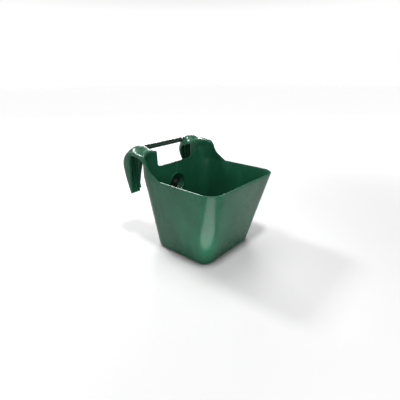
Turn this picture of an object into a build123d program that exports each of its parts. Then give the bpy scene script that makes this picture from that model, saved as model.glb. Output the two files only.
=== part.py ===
"""Hook-over feed bucket: a tapered tub whose back corners rise into two over-the-rail hooks.

Frame: origin at the centre of the flat base, +X to the right, +Y to the rear (hook side), +Z up.
All lengths are in millimetres.
"""
import os
from math import cos, pi, radians, sin

from build123d import *

# Tub
TUB_HEIGHT = 240.0
WALL = 4.5
FLOOR = 5.0
BASE_WIDTH = 223.5
BASE_DEPTH = 212.0
BASE_CORNER = 32.0
TOP_WIDTH = 301.0
TOP_FRONT_Y = -171.0
TOP_BACK_Y = 119.0
TOP_CORNER = 46.0
BASE_EDGE_RADIUS = 9.0

# Grab opening between the two back towers
OPENING_HALF_WIDTH = 74.5
SILL_HEIGHT = 252.0
SILL_CORNER = 12.0

# Hooks
HOOK_WALL = 4.5
LIP_PROUD = 1.2
FLANGE_PROUD = 0.55
LIP_X = (144.2, 151.8)
FLANGE_X = (139.8, 147.0)
LEG_RIB_X = (108.0, 124.0)
LEG_RIB_THICKNESS = 3.0
LEG_RIB_DEPTH = 7.0
SHEET_COLUMNS = 17
SECTIONS_PER_SPAN = 2

# Carry bar and grip
BAR_Y = 164.0
BAR_Z = 305.5
ROD_RADIUS = 3.0
ROD_HALF_LENGTH = 101.0
SOCKET_RADIUS = 6.5
SOCKET_START_X = 89.0
SOCKET_END_X = 104.0
SOCKET_CLEARANCE = 0.05
GRIP_RADIUS = 8.25
GRIP_HALF_LENGTH = 77.5
GRIP_CLEARANCE = 0.08

# Round eyelet in the back wall, with its rubber bung
EYELET_Z = 181.0
EYELET_RADIUS = 35.0
EYELET_FRONT_Y = 108.5
EYELET_REAR_Y = 127.0
EYELET_MOUTH_RADIUS = 32.0
EYELET_BORE_RADIUS = 19.0
EYELET_CONE_DEPTH = 11.0
BUNG_DOME_RADIUS = 11.0

# Stations along each hook, from the tub rim over the crest to the tip of the down-leg.
# outer, inner: (y, z) of the skin at the outer side and at the opening side;
# tilt: direction of the skin's normal, degrees from +Z towards +Y; crown: rise of the skin
# between its sides; drop, reach: fall of the skin at the opening side, and the share of the width
# it takes; inner_x: where that side runs; corner: share of the tub's rounded corner in the section.
STATIONS = (
    dict(outer=(29.0, 240.0), inner=(114.5, 240.0), tilt=-90.0, crown=0.0, drop=0.0, reach=0.42,
         inner_x=74.5, corner=1.0),
    dict(outer=(64.0, 262.0), inner=(114.5, 262.0), tilt=-80.0, crown=0.0, drop=0.0, reach=0.42,
         inner_x=74.5, corner=1.0),
    dict(outer=(77.0, 281.0), inner=(114.5, 282.0), tilt=-65.0, crown=0.0, drop=0.0, reach=0.42,
         inner_x=74.5, corner=1.0),
    dict(outer=(92.0, 299.0), inner=(117.0, 300.0), tilt=-30.0, crown=5.0, drop=1.0, reach=0.42,
         inner_x=75.0, corner=0.7),
    dict(outer=(120.0, 304.0), inner=(132.0, 305.0), tilt=-8.0, crown=6.0, drop=9.0, reach=0.42,
         inner_x=76.0, corner=0.15),
    dict(outer=(150.0, 304.0), inner=(151.0, 303.0), tilt=5.0, crown=15.5, drop=15.0, reach=0.4,
         inner_x=76.5, corner=0.0),
    dict(outer=(174.0, 293.0), inner=(174.0, 293.0), tilt=46.0, crown=11.0, drop=14.0, reach=0.35,
         inner_x=77.0, corner=0.0),
    dict(outer=(189.0, 266.0), inner=(189.0, 266.0), tilt=85.0, crown=3.0, drop=14.0, reach=0.22,
         inner_x=80.0, corner=0.0),
    dict(outer=(183.0, 225.0), inner=(183.0, 225.0), tilt=103.0, crown=2.0, drop=7.0, reach=0.22,
         inner_x=92.5, corner=0.0),
    dict(outer=(166.0, 172.0), inner=(166.0, 172.0), tilt=108.0, crown=1.5, drop=1.0, reach=0.3,
         inner_x=114.0, corner=0.0),
)


TIP_TILT = radians(STATIONS[-1]["tilt"])
# Directions along the hook at its two ends, where the section is flat
SECTION_NORMAL = {0: Vector(0, 0, 1), len(STATIONS) - 1: Vector(0, -cos(TIP_TILT), sin(TIP_TILT))}


def smooth(a, b, c, d, t):
    """Catmull-Rom value between b and c."""
    return b + 0.5 * t * (c - a + t * (2 * a - 5 * b + 4 * c - d + t * (3 * (b - c) + d - a)))


def station_at(v):
    """Section numbers of the hook at v, counted in stations from the rim."""
    last = len(STATIONS) - 1
    k = min(int(v), last - 1)
    around = [STATIONS[min(max(i, 0), last)] for i in (k - 1, k, k + 1, k + 2)]
    mix = {name: smooth(*(s[name] for s in around), v - k)
           for name in ("tilt", "crown", "drop", "reach", "inner_x", "corner")}
    for side in ("outer", "inner"):
        mix[side] = [smooth(*(s[side][i] for s in around), v - k) for i in (0, 1)]
    return mix


def corner_outline(u, edge_y):
    """Inner outline of the tub's back corner, from the opening (u = 0) to the ear's edge (u = 1)."""
    radius = TOP_CORNER - WALL
    x_side = TOP_WIDTH / 2 - WALL
    y_back = TOP_BACK_Y - WALL
    back = x_side - radius - OPENING_HALF_WIDTH
    bend = radius * pi / 2
    side = y_back - radius - edge_y
    s = u * (back + bend + side)
    if s <= back:
        return OPENING_HALF_WIDTH + s, y_back
    if s <= back + bend:
        angle = (s - back) / radius
        return x_side - radius + radius * sin(angle), y_back - radius + radius * cos(angle)
    return x_side, y_back - radius - (s - back - bend)


def hook_point(u, v):
    """Skin of the right hook: u runs from the opening side to the outer side, v along the hook."""
    s = station_at(v)
    outer_x = TOP_WIDTH / 2 - WALL
    saddle_x = s["inner_x"] + (outer_x - s["inner_x"]) * u
    base_y, base_z = (inner + (outer - inner) * u for inner, outer in zip(s["inner"], s["outer"]))
    rise = s["crown"] * (1 - abs(2 * u - 1) ** 2.4)
    rise -= s["drop"] * max(0.0, 1 - u / s["reach"]) ** 2.6
    saddle_y = base_y + rise * sin(radians(s["tilt"]))
    saddle_z = base_z + rise * cos(radians(s["tilt"]))
    corner_x, corner_y = corner_outline(u, s["outer"][0])
    share = min(1.0, max(0.0, s["corner"]))
    return (corner_x * share + saddle_x * (1 - share),
            corner_y * share + saddle_y * (1 - share),
            base_z * share + saddle_z * (1 - share))


def outline(width, front_y, back_y, corner, z):
    """Rounded rectangle of the tub at one height."""
    return Plane.XY.offset(z) * Pos(0, (front_y + back_y) / 2) * RectangleRounded(
        width, back_y - front_y, corner)


def tub_solid(inset, z_low, z_high):
    """Tapered tub block, its walls moved in by inset."""
    def section(z):
        t = z / TUB_HEIGHT
        width = BASE_WIDTH + (TOP_WIDTH - BASE_WIDTH) * t
        front = -BASE_DEPTH / 2 + (TOP_FRONT_Y + BASE_DEPTH / 2) * t
        back = BASE_DEPTH / 2 + (TOP_BACK_Y - BASE_DEPTH / 2) * t
        corner = BASE_CORNER + (TOP_CORNER - BASE_CORNER) * t
        return outline(width - 2 * inset, front + inset, back - inset, corner - inset, z)
    return loft([section(z_low), section(z_high)])


def along_y(x, z, y):
    """Plane at (x, y, z) whose normal points to the rear."""
    return Plane(origin=(x, y, z), x_dir=(1, 0, 0), z_dir=(0, 1, 0))


def make_sill():
    """Upstand of the back wall under the grab opening, its top corners coved into the towers."""
    top = SILL_HEIGHT + SILL_CORNER
    panel = Pos(0, (TUB_HEIGHT + top) / 2) * Rectangle(2 * OPENING_HALF_WIDTH, top - TUB_HEIGHT)
    panel -= Pos(0, SILL_HEIGHT + 30) * RectangleRounded(2 * OPENING_HALF_WIDTH, 60, SILL_CORNER)
    plane = Plane(origin=(0, TOP_BACK_Y, 0), x_dir=(1, 0, 0), z_dir=(0, -1, 0))
    return extrude(plane * panel, WALL)


def make_tub():
    body = tub_solid(0, 0, TUB_HEIGHT)
    body = fillet(body.edges().group_by(Axis.Z)[0], BASE_EDGE_RADIUS)
    body -= tub_solid(WALL, FLOOR, TUB_HEIGHT + 5)
    body += make_sill()
    eyelet_hole = extrude(along_y(0, EYELET_Z, 80) * Circle(EYELET_RADIUS), 60)
    return body - eyelet_hole


def edge_strip(v_low, v_high, inner, proud, x_low, x_high):
    """Upright strip under the hook's outer edge, from v_low to v_high, down to the inner points.

    Its upper edge stands a little proud of the hook's skin.
    """
    last = len(STATIONS) - 1
    top = []
    for i in range(25):
        v = v_low + (v_high - v_low) * i / 24
        here, ahead = station_at(max(v - 0.05, 0))["outer"], station_at(min(v + 0.05, last))["outer"]
        run_y, run_z = ahead[0] - here[0], ahead[1] - here[1]
        length = (run_y ** 2 + run_z ** 2) ** 0.5
        y, z = station_at(v)["outer"]
        top.append((y - run_z / length * proud, z + run_y / length * proud))
    outline_edges = [Spline(*top), Line(top[-1], inner[-1]), Spline(*reversed(inner)),
                     Line(inner[0], top[0])]
    face = Plane.YZ.offset(x_low) * make_face(outline_edges)
    return extrude(face, x_high - x_low)


def outer_lip():
    """Proud lip along the outer edge of the arch."""
    inner = [(86.0, 281.0), (96.0, 289.5), (113.0, 295.5), (132.0, 297.5), (146.0, 297.0),
             (157.0, 293.0)]
    return edge_strip(2, 5.45, inner, LIP_PROUD, LIP_X[0], LIP_X[1])


def outer_flange():
    """Flange on the outer edge of the down-leg, set in behind the lip."""
    inner = [(146.0, 299.0), (153.0, 294.0), (157.0, 282.0), (159.0, 256.0), (161.5, 230.0),
             (162.5, 205.0), (162.0, 176.0)]
    return edge_strip(4.9, len(STATIONS) - 1, inner, FLANGE_PROUD, FLANGE_X[0], FLANGE_X[1])


def leg_rib(x):
    """Upright stiffening rib on the throat side of the down-leg."""
    steps = [6.3 + 2.4 * i / 12 for i in range(13)]
    back = [station_at(v)["outer"] for v in steps]
    web = [(y + 0.6, z) for y, z in back]
    front = [(y - HOOK_WALL - LEG_RIB_DEPTH * sin(pi * i / 12) ** 0.5, z - HOOK_WALL)
             for i, (y, z) in enumerate(back)]
    plane = Plane.YZ.offset(x - LEG_RIB_THICKNESS / 2)
    face = plane * make_face(Polyline(*web, *reversed(front), web[0]))
    return extrude(face, LEG_RIB_THICKNESS)


def rod_bar(x_low, x_high, radius):
    """Cylinder on the carry bar's axis."""
    plane = Plane(origin=(x_low, BAR_Y, BAR_Z), x_dir=(0, 1, 0), z_dir=(1, 0, 0))
    return extrude(plane * Circle(radius), x_high - x_low)


def hook_section(v):
    """Closed section of the hook's wall at v: outer skin, inner skin and the two edges."""
    outer = []
    inner = []
    for j in range(SHEET_COLUMNS):
        u = j / (SHEET_COLUMNS - 1)
        here = Vector(*hook_point(u, v))
        across = Vector(*hook_point(min(u + 0.01, 1), v)) - Vector(*hook_point(max(u - 0.01, 0), v))
        last = len(STATIONS) - 1
        along = Vector(*hook_point(u, min(v + 0.02, last))) - Vector(*hook_point(u, max(v - 0.02, 0)))
        normal = along.cross(across).normalized()
        if v in (0, last):
            normal = (normal - SECTION_NORMAL[v] * normal.dot(SECTION_NORMAL[v])).normalized()
        outer.append(here)
        inner.append(here + normal * HOOK_WALL)
    return Wire([Edge.make_spline(outer), Edge.make_line(outer[-1], inner[-1]),
                 Edge.make_spline(inner[::-1]), Edge.make_line(inner[0], outer[0])])


def make_right_hook():
    spans = (len(STATIONS) - 1) * SECTIONS_PER_SPAN
    sections = [hook_section(i / SECTIONS_PER_SPAN) for i in range(spans + 1)]
    hook = Part() + Solid.make_loft(sections)
    hook += outer_flange()
    for x in LEG_RIB_X:
        hook += leg_rib(x)
    hook += outer_lip()
    hook += rod_bar(SOCKET_START_X, SOCKET_END_X, SOCKET_RADIUS)
    hook -= rod_bar(SOCKET_START_X - 20, ROD_HALF_LENGTH, ROD_RADIUS + SOCKET_CLEARANCE)
    below_rim = Pos(100, 60, TUB_HEIGHT - 10) * Box(160, 160, 20)
    return hook - below_rim


def turned(profile):
    """Solid turned about the eyelet's axis from a profile drawn as (radius, y)."""
    plane = Plane(origin=(0, 0, EYELET_Z), x_dir=(1, 0, 0), z_dir=(0, 0, 1))
    return revolve(plane * profile, Axis((0, 0, EYELET_Z), (0, 1, 0)))


def make_eyelet():
    cone_end = EYELET_FRONT_Y + EYELET_CONE_DEPTH
    wall_points = [(EYELET_BORE_RADIUS, EYELET_REAR_Y), (EYELET_BORE_RADIUS, cone_end),
                   (EYELET_MOUTH_RADIUS - 4, EYELET_FRONT_Y + 4),
                   (EYELET_MOUTH_RADIUS, EYELET_FRONT_Y), (EYELET_RADIUS, EYELET_FRONT_Y + 1),
                   (EYELET_RADIUS, EYELET_REAR_Y - 2), (EYELET_RADIUS - 2, EYELET_REAR_Y)]
    return turned(make_face(Polyline(*wall_points, wall_points[0])))


def make_bung():
    face_y = EYELET_FRONT_Y + EYELET_CONE_DEPTH + 2
    rear_y = EYELET_REAR_Y - 0.5
    dome_front = (0, face_y - 6)
    dome_side = (BUNG_DOME_RADIUS * 0.75, face_y - 4)
    dome_foot = (BUNG_DOME_RADIUS, face_y)
    edge = [(BUNG_DOME_RADIUS, face_y), (EYELET_BORE_RADIUS, face_y),
            (EYELET_BORE_RADIUS, rear_y), (0, rear_y), (0, face_y - 6)]
    rim = Polyline(*edge)
    dome = ThreePointArc(dome_front, dome_side, dome_foot)
    return turned(make_face([dome, rim]))


def make_grip():
    grip = rod_bar(-GRIP_HALF_LENGTH, GRIP_HALF_LENGTH, GRIP_RADIUS)
    ends = grip.edges().filter_by(GeomType.CIRCLE)
    grip = fillet(ends, 2.0)
    return grip - rod_bar(-GRIP_HALF_LENGTH - 1, GRIP_HALF_LENGTH + 1, ROD_RADIUS + GRIP_CLEARANCE)


def main():
    os.makedirs("parts", exist_ok=True)
    hook = make_right_hook()
    parts = {
        "tub_shell": make_tub(),
        "hook_right": hook,
        "hook_left": mirror(hook, about=Plane.YZ),
        "carry_rod": rod_bar(-ROD_HALF_LENGTH, ROD_HALF_LENGTH, ROD_RADIUS),
        "grip_sleeve": make_grip(),
        "eyelet_collar": make_eyelet(),
        "eyelet_bung": make_bung(),
    }
    for name, part in parts.items():
        export_step(part, f"parts/{name}.step")


if __name__ == "__main__":
    main()
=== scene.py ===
"""Looks of the hook-over feed bucket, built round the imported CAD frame."""
import math

import bmesh
import bpy
from mathutils import Matrix, Vector


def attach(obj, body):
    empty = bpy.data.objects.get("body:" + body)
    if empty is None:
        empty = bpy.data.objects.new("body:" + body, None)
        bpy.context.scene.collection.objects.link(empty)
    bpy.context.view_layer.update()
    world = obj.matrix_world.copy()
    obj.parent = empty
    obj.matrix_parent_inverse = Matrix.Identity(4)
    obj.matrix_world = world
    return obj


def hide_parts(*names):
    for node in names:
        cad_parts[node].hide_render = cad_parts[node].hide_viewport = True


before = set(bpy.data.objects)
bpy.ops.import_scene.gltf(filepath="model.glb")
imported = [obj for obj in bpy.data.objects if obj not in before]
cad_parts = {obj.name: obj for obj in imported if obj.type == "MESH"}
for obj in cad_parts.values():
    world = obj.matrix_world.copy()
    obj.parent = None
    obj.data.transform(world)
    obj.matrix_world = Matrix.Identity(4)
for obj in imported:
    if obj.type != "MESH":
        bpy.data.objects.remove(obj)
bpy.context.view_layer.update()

MM = 0.001

# Moulding, in millimetres, as in the CAD; the floor is as thick as the wall
TUB_HEIGHT = 240.0
WALL = 4.5
BASE_HALF_WIDTH = 111.75
BASE_HALF_DEPTH = 106.0
BASE_CORNER = 32.0
TOP_HALF_WIDTH = 150.5
TOP_FRONT_Y = -171.0
TOP_BACK_Y = 119.0
TOP_CORNER = 46.0
FLOOR_RADIUS = 6.0
OPENING_HALF_WIDTH = 74.5
SILL_HEIGHT = 252.0
SILL_COVE = 12.0
LIP_PROUD = 1.2
FLANGE_PROUD = 0.55
LIP_X = (144.2, 151.8)
LIP_STATIONS = (2, 5.45)
FLANGE_X = (139.8, 147.0)
FLANGE_FIRST_STATION = 4.9
LEG_RIB_X = (108.0, 124.0)
LEG_RIB_THICKNESS = 3.0
LEG_RIB_DEPTH = 7.0
LEG_RIB_FIRST_STATION = 6.3
LEG_RIB_STATIONS = 2.4
LEG_RIB_STEPS = 30
LEG_RIB_SEATING = 0.6
BAR_Y = 164.0
BAR_Z = 305.5
ROD_RADIUS = 3.0
SOCKET_RADIUS = 6.5
SOCKET_X = (89.0, 104.0)
ROD_HALF_LENGTH = 101.0
GRIP_RADIUS = 8.25
GRIP_HALF_LENGTH = 77.5
EYELET_Z = 181.0
EYELET_FRONT_Y = 108.5
EYELET_REAR_Y = 127.0
EYELET_HOLE_RADIUS = 34.0
COLLAR_RADIUS = 35.0
COLLAR_BORE_RADIUS = 19.0
BUNG_RADIUS = 18.9

# Stations along each hook, from the tub rim over the crest to the tip of the down-leg
STATIONS = (
    dict(outer=(29.0, 240.0), inner=(114.5, 240.0), tilt=-90.0, crown=0.0, drop=0.0, reach=0.42,
         inner_x=74.5, corner=1.0),
    dict(outer=(64.0, 262.0), inner=(114.5, 262.0), tilt=-80.0, crown=0.0, drop=0.0, reach=0.42,
         inner_x=74.5, corner=1.0),
    dict(outer=(77.0, 281.0), inner=(114.5, 282.0), tilt=-65.0, crown=0.0, drop=0.0, reach=0.42,
         inner_x=74.5, corner=1.0),
    dict(outer=(92.0, 299.0), inner=(117.0, 300.0), tilt=-30.0, crown=5.0, drop=1.0, reach=0.42,
         inner_x=75.0, corner=0.7),
    dict(outer=(120.0, 304.0), inner=(132.0, 305.0), tilt=-8.0, crown=6.0, drop=9.0, reach=0.42,
         inner_x=76.0, corner=0.15),
    dict(outer=(150.0, 304.0), inner=(151.0, 303.0), tilt=5.0, crown=15.5, drop=15.0, reach=0.4,
         inner_x=76.5, corner=0.0),
    dict(outer=(174.0, 293.0), inner=(174.0, 293.0), tilt=46.0, crown=11.0, drop=14.0, reach=0.35,
         inner_x=77.0, corner=0.0),
    dict(outer=(189.0, 266.0), inner=(189.0, 266.0), tilt=85.0, crown=3.0, drop=14.0, reach=0.22,
         inner_x=80.0, corner=0.0),
    dict(outer=(183.0, 225.0), inner=(183.0, 225.0), tilt=103.0, crown=2.0, drop=7.0, reach=0.22,
         inner_x=92.5, corner=0.0),
    dict(outer=(166.0, 172.0), inner=(166.0, 172.0), tilt=108.0, crown=1.5, drop=1.0, reach=0.3,
         inner_x=114.0, corner=0.0),
)
LAST = len(STATIONS) - 1
HOOK_COLUMNS = 36
ROWS_PER_STATION = 8
WALL_ROWS = 28
STRIP_STEPS = 112
STRIP_POINTS = 90
SPLINE_STEPS = 8

# Camera, in degrees, metres and sensor units
CAMERA_AZIMUTH = 49.29
CAMERA_ELEVATION = 22.733
CAMERA_ROLL = -0.512
CAMERA_PLACE = (-0.6746, -0.6062, 0.5229)
CAMERA_LENS = 28.01
CAMERA_SENSOR = 36.0
CAMERA_SHIFT = (-0.0219, 0.0028)


def smooth(a, b, c, d, t):
    """Catmull-Rom value between b and c."""
    return b + 0.5 * t * (c - a + t * (2 * a - 5 * b + 4 * c - d + t * (3 * (b - c) + d - a)))


def station_at(v):
    """Section numbers of the hook at v, counted in stations from the rim."""
    k = min(int(v), LAST - 1)
    around = [STATIONS[min(max(i, 0), LAST)] for i in (k - 1, k, k + 1, k + 2)]
    mix = {name: smooth(*(s[name] for s in around), v - k)
           for name in ("tilt", "crown", "drop", "reach", "inner_x", "corner")}
    for side in ("outer", "inner"):
        mix[side] = [smooth(*(s[side][i] for s in around), v - k) for i in (0, 1)]
    return mix


def corner_outline(u, edge_y):
    """Inner outline of the tub's back corner, from the opening (u = 0) to the ear's edge (u = 1)."""
    radius = TOP_CORNER - WALL
    x_side = TOP_HALF_WIDTH - WALL
    y_back = TOP_BACK_Y - WALL
    back = x_side - radius - OPENING_HALF_WIDTH
    bend = radius * math.pi / 2
    side = y_back - radius - edge_y
    s = u * (back + bend + side)
    if s <= back:
        return OPENING_HALF_WIDTH + s, y_back
    if s <= back + bend:
        angle = (s - back) / radius
        return (x_side - radius + radius * math.sin(angle),
                y_back - radius + radius * math.cos(angle))
    return x_side, y_back - radius - (s - back - bend)


def hook_point(u, v):
    """Skin of the right hook: u runs from the opening side to the outer side, v along the hook."""
    s = station_at(v)
    outer_x = TOP_HALF_WIDTH - WALL
    saddle_x = s["inner_x"] + (outer_x - s["inner_x"]) * u
    base_y, base_z = (inner + (outer - inner) * u for inner, outer in zip(s["inner"], s["outer"]))
    rise = s["crown"] * (1 - abs(2 * u - 1) ** 2.4)
    rise -= s["drop"] * max(0.0, 1 - u / s["reach"]) ** 2.6
    tilt = math.radians(s["tilt"])
    corner_x, corner_y = corner_outline(u, s["outer"][0])
    share = min(1.0, max(0.0, s["corner"]))
    return Vector((corner_x * share + saddle_x * (1 - share),
                   corner_y * share + (base_y + rise * math.sin(tilt)) * (1 - share),
                   base_z + rise * math.cos(tilt) * (1 - share)))


class Outline:
    """Inner outline of the tub at one height, moved in by inset."""

    def __init__(self, z, inset=0.0):
        t = z / TUB_HEIGHT
        inset += WALL
        self.half_x = BASE_HALF_WIDTH + (TOP_HALF_WIDTH - BASE_HALF_WIDTH) * t - inset
        self.front = -BASE_HALF_DEPTH + (TOP_FRONT_Y + BASE_HALF_DEPTH) * t + inset
        self.back = BASE_HALF_DEPTH + (TOP_BACK_Y - BASE_HALF_DEPTH) * t - inset
        self.radius = BASE_CORNER + (TOP_CORNER - BASE_CORNER) * t - inset

    def corner_point(self, x_sign, back, angle):
        """Point on a corner arc; angle 0 is on the side wall, 90 on the back or front wall."""
        cx = self.half_x - self.radius
        cy = self.back - self.radius if back else self.front + self.radius
        y_sign = 1 if back else -1
        return (x_sign * (cx + self.radius * math.cos(angle)),
                cy + y_sign * self.radius * math.sin(angle))

    def place(self, column):
        """Position of a perimeter column, given as (kind, ...) by column_at_rim."""
        if column[0] == "arc":
            return self.corner_point(*column[1:])
        kind, fraction = column
        span = self.half_x - self.radius
        if kind == "back":
            return fraction * span, self.back
        if kind == "front":
            return fraction * span, self.front
        low = self.front + self.radius
        high = self.back - self.radius
        return (self.half_x if kind == "right" else -self.half_x), low + (high - low) * fraction


RIM = Outline(TUB_HEIGHT)


def column_at_rim(x, y):
    """Names the place of a rim point on the outline, so that it can be followed down the wall."""
    cx = RIM.half_x - RIM.radius
    low = RIM.front + RIM.radius
    high = RIM.back - RIM.radius
    if abs(x) <= cx + 1e-6:
        return ("back" if y > 0 else "front", x / cx)
    if low - 1e-6 <= y <= high + 1e-6:
        return ("right" if x > 0 else "left", (y - low) / (high - low))
    back = y > 0
    angle = math.atan2(abs(y - (high if back else low)), abs(x) - cx)
    return ("arc", 1 if x > 0 else -1, back, angle)


def front_columns():
    """Rim points from the right ear's foot round the front to the left ear's foot."""
    half = RIM.half_x
    cx = half - RIM.radius
    low = RIM.front + RIM.radius
    ear = STATIONS[0]["outer"][0]
    points = [(half, ear + (low - ear) * i / 14) for i in range(15)]
    points += [RIM.corner_point(1, False, math.radians(90 * i / 14)) for i in range(1, 15)]
    points += [(cx * (1 - 2 * i / 18), RIM.front) for i in range(1, 18)]
    points += [RIM.corner_point(-1, False, math.radians(90 * (14 - i) / 14)) for i in range(15)]
    points += [(-half, low + (ear - low) * i / 14) for i in range(1, 15)]
    return points


class Builder:
    """Collects quads; equal corners become one vertex."""

    def __init__(self):
        self.bm = bmesh.new()
        self.seen = {}

    def vertex(self, point):
        """Vertex at a point in millimetres, shared with any other point in the same place."""
        key = tuple(round(c, 3) for c in point)
        if key not in self.seen:
            self.seen[key] = self.bm.verts.new([c * MM for c in point])
        return self.seen[key]

    def grid(self, rows, closed=False):
        """Quads between rows of points."""
        for low, high in zip(rows, rows[1:]):
            count = len(low)
            for i in range(count if closed else count - 1):
                j = (i + 1) % count
                corners = [self.vertex(p) for p in (low[i], low[j], high[j], high[i])]
                distinct = list(dict.fromkeys(corners))
                if len(distinct) > 2:
                    self.bm.faces.new(distinct)

    def fan(self, ring):
        """One face over a closed ring."""
        self.bm.faces.new([self.vertex(p) for p in ring])

    def mesh(self, name):
        """Object of the collected faces, shaded smooth, with its normals facing out."""
        bmesh.ops.recalc_face_normals(self.bm, faces=self.bm.faces)
        data = bpy.data.meshes.new(name)
        self.bm.to_mesh(data)
        self.bm.free()
        data.polygons.foreach_set("use_smooth", [True] * len(data.polygons))
        piece = bpy.data.objects.new(name, data)
        bpy.context.scene.collection.objects.link(piece)
        return piece


def sill_top(x):
    """Height of the back wall's top edge under the grab opening."""
    reach = abs(x) - (OPENING_HALF_WIDTH - SILL_COVE)
    if reach <= 0:
        return SILL_HEIGHT
    end = hook_point(0, 1).z
    return SILL_HEIGHT + (end - SILL_HEIGHT) * (1 - math.sqrt(max(0.0, 1 - (reach / SILL_COVE) ** 2)))


def moulding_skin():
    """Open skin of the whole moulding: floor, walls, sill and both hooks, facing the inside."""
    b = Builder()
    hook_rows = [[hook_point(j / HOOK_COLUMNS, i / ROWS_PER_STATION)
                  for j in range(HOOK_COLUMNS + 1)] for i in range(LAST * ROWS_PER_STATION + 1)]
    b.grid(hook_rows)
    b.grid([[Vector((-p.x, p.y, p.z)) for p in row] for row in hook_rows])

    cove = [OPENING_HALF_WIDTH - SILL_COVE * (1 - math.sin(math.radians(a))) for a in range(0, 91, 10)]
    inner = [-cove[0] + 2 * cove[0] * i / 20 for i in range(1, 20)]
    sill_x = [-x for x in reversed(cove)] + inner + cove
    edge = [hook_rows[i][0].z for i in range(ROWS_PER_STATION + 1)]
    share = [(z - TUB_HEIGHT) / (edge[-1] - TUB_HEIGHT) for z in edge]
    y = RIM.back
    b.grid([[Vector((x, y, TUB_HEIGHT + t * (sill_top(x) - TUB_HEIGHT))) for x in sill_x]
            for t in share])

    rim = [(x, y) for x in sill_x]
    rim += [(p.x, p.y) for p in hook_rows[0][1:]]
    rim += front_columns()[1:]
    rim += [(-p.x, p.y) for p in reversed(hook_rows[0][1:-1])]
    columns = [column_at_rim(*p) for p in rim]

    def ring(z, inset=0.0, at=None):
        outline = Outline(z, inset)
        return [Vector((*outline.place(c), z if at is None else at)) for c in columns]

    low = WALL + FLOOR_RADIUS
    rings = [ring(TUB_HEIGHT + (low - TUB_HEIGHT) * i / WALL_ROWS) for i in range(WALL_ROWS + 1)]
    for i in range(1, 7):
        angle = math.radians(15 * i)
        rings.append(ring(low, FLOOR_RADIUS * (1 - math.cos(angle)),
                          WALL + FLOOR_RADIUS * (1 - math.sin(angle))))
    flat = rings[-1]
    for k in (0.93, 0.8, 0.6, 0.4, 0.2, 0.05):
        rings.append([Vector((p.x * k, p.y * k, WALL)) for p in flat])
    b.grid(rings, closed=True)
    b.fan(rings[-1])
    skin = b.mesh("moulding")
    floor_face = min(skin.data.polygons, key=lambda f: f.center.z + abs(f.center.x) + abs(f.center.y))
    if floor_face.normal.z < 0:
        skin.data.flip_normals()
    return skin


def modifier(piece, kind, **settings):
    """Adds a modifier with the given settings."""
    added = piece.modifiers.new(kind.title(), kind)
    for key, value in settings.items():
        setattr(added, key, value)


def bevel(piece, width):
    """Rounds the sharp edges to about width, in millimetres."""
    modifier(piece, "BEVEL", width=width * MM, segments=3, limit_method="ANGLE",
             angle_limit=math.radians(40), harden_normals=False)


def apply_modifiers(piece):
    """Makes the modifiers' result the piece's own mesh."""
    depsgraph = bpy.context.evaluated_depsgraph_get()
    data = bpy.data.meshes.new_from_object(piece.evaluated_get(depsgraph))
    piece.modifiers.clear()
    piece.data = data
    piece.data.polygons.foreach_set("use_smooth", [True] * len(piece.data.polygons))


def prism(name, outline_low, outline_high, x_low, x_high):
    """Closed strip between two (y, z) lines, from x_low to x_high."""
    b = Builder()
    for x in (x_low, x_high):
        b.grid([[Vector((x, y, z)) for y, z in outline_low],
                [Vector((x, y, z)) for y, z in outline_high]])
    ring = list(outline_low) + list(reversed(outline_high))
    b.grid([[Vector((x_low, y, z)) for y, z in ring], [Vector((x_high, y, z)) for y, z in ring]],
           closed=True)
    return b.mesh(name)


def resample(points, count):
    """Points spread evenly along a polyline."""
    lengths = [math.dist(a, b) for a, b in zip(points, points[1:])]
    total = sum(lengths)
    result = []
    for i in range(count):
        target = total * i / (count - 1)
        k = 0
        while k < len(lengths) - 1 and target > lengths[k]:
            target -= lengths[k]
            k += 1
        t = min(1.0, target / lengths[k])
        result.append(tuple(a + (b - a) * t for a, b in zip(points[k], points[k + 1])))
    return result


def spline_through(points):
    """Smooth polyline through the points."""
    result = []
    for k in range(len(points) - 1):
        around = [points[min(max(i, 0), len(points) - 1)] for i in (k - 1, k, k + 1, k + 2)]
        for i in range(SPLINE_STEPS):
            t = i / SPLINE_STEPS
            result.append(tuple(smooth(*(p[c] for p in around), t) for c in range(2)))
    return result + [points[-1]]


def edge_strip(name, v_low, v_high, inner, proud, x_low, x_high, width=1.1):
    """Upright strip under the hook's outer edge, from v_low to v_high, down to the inner points."""
    top = []
    for i in range(STRIP_STEPS + 1):
        v = v_low + (v_high - v_low) * i / STRIP_STEPS
        here = station_at(max(v - 0.05, 0))["outer"]
        ahead = station_at(min(v + 0.05, LAST))["outer"]
        run_y, run_z = ahead[0] - here[0], ahead[1] - here[1]
        length = math.hypot(run_y, run_z)
        y, z = station_at(v)["outer"]
        top.append((y - run_z / length * proud, z + run_y / length * proud))
    strip = prism(name, resample(spline_through(inner), STRIP_POINTS),
                  resample(top, STRIP_POINTS), x_low, x_high)
    bevel(strip, width)
    return strip


def outer_lip(name):
    """Proud lip along the outer edge of the arch."""
    inner = [(86.0, 281.0), (96.0, 289.5), (113.0, 295.5), (132.0, 297.5), (146.0, 297.0),
             (157.0, 293.0)]
    return edge_strip(name, *LIP_STATIONS, inner, LIP_PROUD, *LIP_X, width=1.8)


def outer_flange(name):
    """Flange on the outer edge of the down-leg, set in behind the lip."""
    inner = [(146.0, 299.0), (153.0, 294.0), (157.0, 282.0), (159.0, 256.0), (161.5, 230.0),
             (162.5, 205.0), (162.0, 176.0)]
    return edge_strip(name, FLANGE_FIRST_STATION, LAST, inner, FLANGE_PROUD, *FLANGE_X)


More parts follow.
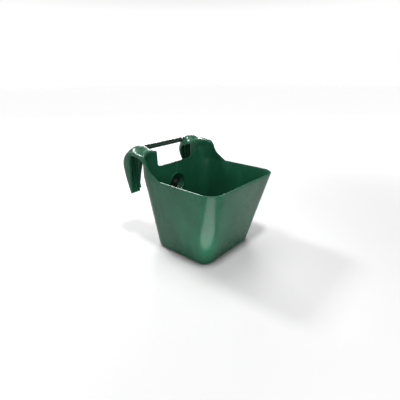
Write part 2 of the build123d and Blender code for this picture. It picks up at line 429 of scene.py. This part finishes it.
def leg_rib(name, x):
    """Upright stiffening rib on the throat side of the down-leg."""
    steps = LEG_RIB_STEPS
    back = [station_at(LEG_RIB_FIRST_STATION + LEG_RIB_STATIONS * i / steps)["outer"]
            for i in range(steps + 1)]
    web = [(y + LEG_RIB_SEATING, z) for y, z in back]
    front = [(y - WALL - LEG_RIB_DEPTH * math.sin(math.pi * i / steps) ** 0.5, z - WALL)
             for i, (y, z) in enumerate(back)]
    rib = prism(name, front, web, x - LEG_RIB_THICKNESS / 2, x + LEG_RIB_THICKNESS / 2)
    bevel(rib, 0.9)
    return rib


def lathe(name, profile, centre, axis, segments=96):
    """Solid of revolution from (radius, distance) pairs along an axis through centre."""
    turn = Vector((0, 0, 1)).rotation_difference(Vector(axis)).to_matrix()
    b = Builder()
    rows = []
    for radius, along in profile:
        rows.append([turn @ Vector((radius * math.cos(a), radius * math.sin(a), along)) +
                     Vector(centre)
                     for a in (2 * math.pi * i / segments for i in range(segments))])
    b.grid(rows, closed=True)
    return b.mesh(name)


def rounded(corners, radius, steps=4):
    """Polyline whose inner corners are rounded off."""
    result = [corners[0]]
    for before, at, after in zip(corners, corners[1:], corners[2:]):
        a = Vector(before) - Vector(at)
        c = Vector(after) - Vector(at)
        cut = min(radius, a.length / 2.2, c.length / 2.2)
        start = Vector(at) + a.normalized() * cut
        end = Vector(at) + c.normalized() * cut
        for i in range(steps + 1):
            t = i / steps
            result.append(tuple(start * (1 - t) ** 2 + Vector(at) * 2 * t * (1 - t) + end * t ** 2))
    return result + [corners[-1]]


def join(target, parts):
    """Makes the parts one object with the target, modifiers applied."""
    for part in [target, *parts]:
        apply_modifiers(part)
    b = bmesh.new()
    for part in [target, *parts]:
        b.from_mesh(part.data)
    b.to_mesh(target.data)
    b.free()
    for part in parts:
        bpy.data.objects.remove(part)
    target.data.polygons.foreach_set("use_smooth", [True] * len(target.data.polygons))
    return target


def mirrored(piece, name):
    """Copy of a piece on the other side of X = 0."""
    apply_modifiers(piece)
    data = piece.data.copy()
    data.transform(Matrix.Scale(-1, 4, (1, 0, 0)))
    data.flip_normals()
    twin = bpy.data.objects.new(name, data)
    bpy.context.scene.collection.objects.link(twin)
    return twin


# ---- materials -------------------------------------------------------------------------------

class Nodes:
    """Short names for building one material's node tree."""

    def __init__(self, name):
        self.material = bpy.data.materials.new(name)
        self.material.use_nodes = True
        self.tree = self.material.node_tree
        self.tree.nodes.clear()
        self.output = self.add("ShaderNodeOutputMaterial")
        self.shader = self.add("ShaderNodeBsdfPrincipled")
        self.link(self.shader.outputs["BSDF"], self.output.inputs["Surface"])
        self.coords = self.add("ShaderNodeTexCoord").outputs["Object"]

    def add(self, kind, **settings):
        node = self.tree.nodes.new(kind)
        for key, value in settings.items():
            setattr(node, key, value)
        return node

    def link(self, source, target):
        self.tree.links.new(source, target)

    def scaled(self, scale):
        mapping = self.add("ShaderNodeMapping")
        mapping.inputs["Scale"].default_value = scale
        self.link(self.coords, mapping.inputs["Vector"])
        return mapping.outputs["Vector"]

    def noise(self, scale, detail=3.0, roughness=0.5, stretch=(1, 1, 1), distortion=0.0):
        node = self.add("ShaderNodeTexNoise")
        node.inputs["Scale"].default_value = scale
        node.inputs["Detail"].default_value = detail
        node.inputs["Roughness"].default_value = roughness
        node.inputs["Distortion"].default_value = distortion
        self.link(self.scaled(stretch), node.inputs["Vector"])
        return node.outputs["Fac"]

    def ramp(self, source, low, high, out_low=0.0, out_high=1.0):
        node = self.add("ShaderNodeMapRange", interpolation_type="SMOOTHSTEP")
        self.link(source, node.inputs["Value"])
        node.inputs["From Min"].default_value = low
        node.inputs["From Max"].default_value = high
        node.inputs["To Min"].default_value = out_low
        node.inputs["To Max"].default_value = out_high
        return node.outputs["Result"]

    def mix(self, factor, a, b):
        node = self.add("ShaderNodeMix", data_type="RGBA")
        self.link(factor, node.inputs["Factor"])
        for socket, value in ((node.inputs[6], a), (node.inputs[7], b)):
            if isinstance(value, tuple):
                socket.default_value = (*value, 1.0)
            else:
                self.link(value, socket)
        return node.outputs[2]

    def bump(self, height, strength, distance, normal=None):
        node = self.add("ShaderNodeBump")
        node.inputs["Strength"].default_value = strength
        node.inputs["Distance"].default_value = distance
        self.link(height, node.inputs["Height"])
        if normal is not None:
            self.link(normal, node.inputs["Normal"])
        return node.outputs["Normal"]


def green_plastic():
    n = Nodes("green_polyethylene")
    cloud = n.ramp(n.noise(9, 4, 0.55), 0.3, 0.7)
    colour = n.mix(cloud, (0.0075, 0.058, 0.029), (0.0105, 0.078, 0.040))
    streak = n.ramp(n.noise(34, 3, 0.5, (1, 1, 0.18)), 0.52, 0.78, 0.0, 0.35)
    colour = n.mix(streak, colour, (0.020, 0.105, 0.062))
    speck = n.ramp(n.noise(620, 2, 0.5), 0.66, 0.76, 0.0, 0.45)
    colour = n.mix(speck, colour, (0.034, 0.125, 0.082))
    n.link(colour, n.shader.inputs["Base Color"])
    smear = n.noise(22, 4, 0.6, (1, 1, 0.35), 0.4)
    n.link(n.ramp(smear, 0.25, 0.75, 0.19, 0.30), n.shader.inputs["Roughness"])
    n.shader.inputs["Specular IOR Level"].default_value = 0.18
    n.shader.inputs["IOR"].default_value = 1.5
    wave = n.bump(n.noise(26, 2, 0.4), 0.25, 0.0012)
    peel = n.bump(n.noise(520, 2, 0.5), 0.16, 0.00012, wave)
    scratch = n.bump(n.ramp(n.noise(210, 2, 0.5, (1, 1, 0.06)), 0.62, 0.7), 0.10, 0.00008, peel)
    n.link(scratch, n.shader.inputs["Normal"])
    return n.material


def grip_plastic():
    n = Nodes("dark_grip")
    colour = n.mix(n.ramp(n.noise(40, 3, 0.5), 0.3, 0.7), (0.003, 0.014, 0.009),
                   (0.006, 0.024, 0.015))
    scuff = n.ramp(n.noise(150, 3, 0.6, (0.2, 1, 1)), 0.66, 0.82, 0.0, 0.3)
    n.link(n.mix(scuff, colour, (0.02, 0.045, 0.034)), n.shader.inputs["Base Color"])
    n.link(n.ramp(n.noise(60, 3, 0.6), 0.3, 0.7, 0.14, 0.24), n.shader.inputs["Roughness"])
    n.shader.inputs["Specular IOR Level"].default_value = 0.4
    n.link(n.bump(n.noise(180, 2, 0.5), 0.08, 0.00006), n.shader.inputs["Normal"])
    return n.material


def rod_steel():
    n = Nodes("rod_steel")
    tone = n.ramp(n.noise(120, 4, 0.6, (0.15, 1, 1)), 0.35, 0.7)
    n.link(n.mix(tone, (0.16, 0.17, 0.165), (0.42, 0.44, 0.43)), n.shader.inputs["Base Color"])
    n.shader.inputs["Metallic"].default_value = 1.0
    n.link(n.ramp(n.noise(300, 3, 0.6), 0.3, 0.7, 0.28, 0.48), n.shader.inputs["Roughness"])
    n.link(n.bump(n.noise(900, 2, 0.5), 0.2, 0.00006), n.shader.inputs["Normal"])
    return n.material


def black_rubber():
    n = Nodes("black_rubber")
    dust = n.ramp(n.noise(90, 4, 0.6), 0.4, 0.75)
    n.link(n.mix(dust, (0.012, 0.011, 0.011), (0.05, 0.046, 0.044)),
           n.shader.inputs["Base Color"])
    n.link(n.ramp(n.noise(200, 3, 0.6), 0.3, 0.7, 0.45, 0.7), n.shader.inputs["Roughness"])
    n.link(n.bump(n.noise(700, 3, 0.5), 0.3, 0.00012), n.shader.inputs["Normal"])
    return n.material


def pale_floor():
    n = Nodes("pale_floor")
    n.link(n.mix(n.noise(2, 2, 0.5), (0.56, 0.56, 0.56), (0.59, 0.59, 0.59)),
           n.shader.inputs["Base Color"])
    distance = n.add("ShaderNodeVectorMath", operation="LENGTH")
    n.link(n.coords, distance.inputs[0])
    n.shader.inputs["Emission Color"].default_value = (1.0, 1.0, 1.0, 1.0)
    n.link(n.ramp(distance.outputs["Value"], 0.45, 2.2, 0.0, 0.62),
           n.shader.inputs["Emission Strength"])
    n.shader.inputs["Roughness"].default_value = 0.6
    n.shader.inputs["Specular IOR Level"].default_value = 0.2
    return n.material


def dress(piece, material, slot, body, *replaced):
    """Gives a piece its material, and the body and CAD nodes that it stands for; the slot argument is
    not used.
    """
    piece.data.materials.clear()
    piece.data.materials.append(material)
    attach(piece, body)
    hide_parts(*replaced)


# ---- the object ------------------------------------------------------------------------------

def eyelet_cutter():
    """Cylinder that cuts the collar's hole in the back wall."""
    profile = [(0, 90), (EYELET_HOLE_RADIUS, 90), (EYELET_HOLE_RADIUS, 140), (0, 140)]
    return lathe("cutter", profile, (0, 0, EYELET_Z), (0, 1, 0))


def rod_socket(name):
    """Round boss on the inner side of a hook, around the end of the steel rod."""
    near, far = SOCKET_X
    corners = [(ROD_RADIUS, near), (SOCKET_RADIUS, near), (SOCKET_RADIUS, far), (ROD_RADIUS, far),
               (ROD_RADIUS, near)]
    return lathe(name, rounded(corners, 0.8, 3), (0, BAR_Y, BAR_Z), (1, 0, 0))


def build_moulding():
    """Tub, sill and both hooks as one moulding, with lips, flanges, ribs and rod sockets."""
    skin = moulding_skin()
    modifier(skin, "SOLIDIFY", thickness=WALL * MM, offset=-1.0, use_even_offset=True,
             use_quality_normals=True)
    apply_modifiers(skin)
    cutter = eyelet_cutter()
    modifier(skin, "BOOLEAN", operation="DIFFERENCE", solver="EXACT", object=cutter)
    bevel(skin, 1.5)
    apply_modifiers(skin)
    bpy.data.objects.remove(cutter)
    parts = []
    for k, x in enumerate(LEG_RIB_X):
        rib = leg_rib(f"rib_{k}", x)
        parts += [rib, mirrored(rib, f"rib_{k}_twin")]
    for edge in (outer_lip("lip"), outer_flange("flange"), rod_socket("socket")):
        parts += [edge, mirrored(edge, edge.name + "_twin")]
    return join(skin, parts)


def build_collar():
    """Round collar with a flared front."""
    front = EYELET_FRONT_Y
    bore = COLLAR_BORE_RADIUS
    corners = [(bore, EYELET_REAR_Y), (bore, front + 11), (28.5, front + 4.5), (31.5, front),
               (COLLAR_RADIUS, front), (COLLAR_RADIUS, EYELET_REAR_Y - 0.5), (bore, EYELET_REAR_Y)]
    return lathe("eyelet_ring", rounded(corners, 1.6), (0, 0, EYELET_Z), (0, 1, 0))


def build_bung():
    """Rubber plug with a dome in the middle of its face."""
    face = EYELET_FRONT_Y + 13
    corners = [(0, face - 6.2), (5.5, face - 5.6), (9.3, face - 3.2), (11.0, face + 0.4),
               (13.0, face + 1.2), (17.0, face + 1.2), (BUNG_RADIUS, face),
               (BUNG_RADIUS, EYELET_REAR_Y - 0.6),
               (8.0, EYELET_REAR_Y - 0.6), (7.0, EYELET_REAR_Y - 1.8), (0, EYELET_REAR_Y - 1.8)]
    return lathe("eyelet_plug", rounded(corners, 1.0), (0, 0, EYELET_Z), (0, 1, 0))


def build_grip():
    """Turning tube with a groove near each end."""
    end = GRIP_HALF_LENGTH
    bore = ROD_RADIUS + 0.1
    corners = [(bore, -end), (6.9, -end), (GRIP_RADIUS, -end + 1.4), (GRIP_RADIUS, -end + 7),
               (GRIP_RADIUS - 0.35, -end + 7.6), (GRIP_RADIUS - 0.35, -end + 8.6),
               (GRIP_RADIUS, -end + 9.2)]
    profile = corners + [(GRIP_RADIUS, -end + 9.2 + (2 * end - 18.4) * i / 12)
                         for i in range(1, 12)]
    profile += [(r, -d) for r, d in reversed(corners)]
    profile.append((bore, -end))
    return lathe("grip_tube", rounded(profile, 0.8, 3), (0, BAR_Y, BAR_Z), (1, 0, 0))


def build_rod():
    """Plain rod between the two hooks."""
    end = ROD_HALF_LENGTH
    corners = [(0, -end), (ROD_RADIUS, -end), (ROD_RADIUS, end), (0, end)]
    return lathe("steel_rod", rounded(corners, 0.8), (0, BAR_Y, BAR_Z), (1, 0, 0), 48)


moulding = build_moulding()
dress(moulding, green_plastic(), "green_polyethylene", "bucket", "tub_shell", "hook_right",
      "hook_left")
dress(build_collar(), moulding.data.materials[0], "green_polyethylene", "bucket",
      "eyelet_collar")
dress(build_bung(), black_rubber(), "black_rubber", "bucket", "eyelet_bung")
dress(build_rod(), rod_steel(), "rod_steel", "bucket", "carry_rod")
dress(build_grip(), grip_plastic(), "dark_grip", "grip", "grip_sleeve")


# ---- floor, light and camera -----------------------------------------------------------------

def build_floor():
    """Wide round floor just below the tub."""
    b = Builder()
    radii = (200, 800, 2500, 6000, 12000)
    rows = [[Vector((r * math.cos(2 * math.pi * i / 64), r * math.sin(2 * math.pi * i / 64), -0.2))
             for i in range(64)] for r in radii]
    b.grid(rows, closed=True)
    b.fan(rows[0])
    floor = b.mesh("floor")
    floor.data.materials.append(pale_floor())


def sun_light(name, towards, strength, spread):
    """Distant soft light that comes from the given direction."""
    data = bpy.data.lights.new(name, "SUN")
    data.energy = strength
    data.angle = math.radians(spread)
    lamp = bpy.data.objects.new(name, data)
    bpy.context.scene.collection.objects.link(lamp)
    lamp.rotation_euler = Vector(towards).to_track_quat("Z", "Y").to_euler()


def area_light(name, place, target, size, power, spin=0):
    """Rectangular light at a place, aimed at a target, that the camera doesn't see."""
    data = bpy.data.lights.new(name, "AREA")
    data.shape = "RECTANGLE"
    data.size, data.size_y = size
    data.energy = power
    lamp = bpy.data.objects.new(name, data)
    bpy.context.scene.collection.objects.link(lamp)
    turn = (Vector(target) - Vector(place)).to_track_quat("-Z", "Y").to_matrix().to_4x4()
    around = Matrix.Rotation(math.radians(spin), 4, "Z")
    lamp.matrix_world = Matrix.Translation(place) @ turn @ around
    lamp.visible_camera = False


def build_world():
    """White surroundings that are a little dimmer overhead."""
    world = bpy.data.worlds.new("studio")
    world.use_nodes = True
    tree = world.node_tree
    background = tree.nodes["Background"]
    background.inputs["Color"].default_value = (1.0, 1.0, 1.0, 1.0)
    coords = tree.nodes.new("ShaderNodeTexCoord")
    split = tree.nodes.new("ShaderNodeSeparateXYZ")
    fade = tree.nodes.new("ShaderNodeMapRange")
    fade.inputs["From Min"].default_value = 0.15
    fade.inputs["From Max"].default_value = 0.35
    fade.inputs["To Min"].default_value = 1.0
    fade.inputs["To Max"].default_value = 0.22
    tree.links.new(coords.outputs["Generated"], split.inputs["Vector"])
    tree.links.new(split.outputs["Z"], fade.inputs["Value"])
    tree.links.new(fade.outputs["Result"], background.inputs["Strength"])
    bpy.context.scene.world = world


def build_camera():
    azimuth, elevation, roll = map(math.radians,
                                   (CAMERA_AZIMUTH, CAMERA_ELEVATION, CAMERA_ROLL))
    ahead = Vector((math.sin(azimuth) * math.cos(elevation),
                    math.cos(azimuth) * math.cos(elevation), -math.sin(elevation)))
    level = Vector((math.cos(azimuth), -math.sin(azimuth), 0))
    upright = level.cross(ahead)
    right = level * math.cos(roll) + upright * math.sin(roll)
    up = upright * math.cos(roll) - level * math.sin(roll)
    data = bpy.data.cameras.new("camera")
    data.sensor_width = CAMERA_SENSOR
    data.lens = CAMERA_LENS
    data.shift_x, data.shift_y = CAMERA_SHIFT
    camera = bpy.data.objects.new("camera", data)
    bpy.context.scene.collection.objects.link(camera)
    turn = Matrix((right, up, -ahead)).transposed()
    camera.matrix_world = Matrix.Translation(CAMERA_PLACE) @ turn.to_4x4()
    bpy.context.scene.camera = camera


build_floor()
build_world()
sun_light("sky", (0.1, 0.25, 1.0), 1.0, 35)
area_light("top_left", (-0.15, 1.1, 1.35), (0, 0.1, 0.25), (0.25, 0.25), 18)
area_light("top_front", (-0.3, -0.45, 1.6), (0, 0.1, 0.25), (0.18, 0.18), 18)
area_light("rim_light", (1.9, 1.6, 1.4), (0, 0, 0.2), (1.3, 0.35), 38)
area_light("front_card", (-1.5, -1.25, 0.75), (0, 0, 0.1), (0.5, 0.9), 8)
area_light("corner_card", (-0.27, -0.255, 0.004), (-0.27, -0.255, 1.0), (0.22, 0.36), 1.25, 48)
build_camera()
bpy.context.scene.view_settings.view_transform = "Standard"

bpy.context.view_layer.update()
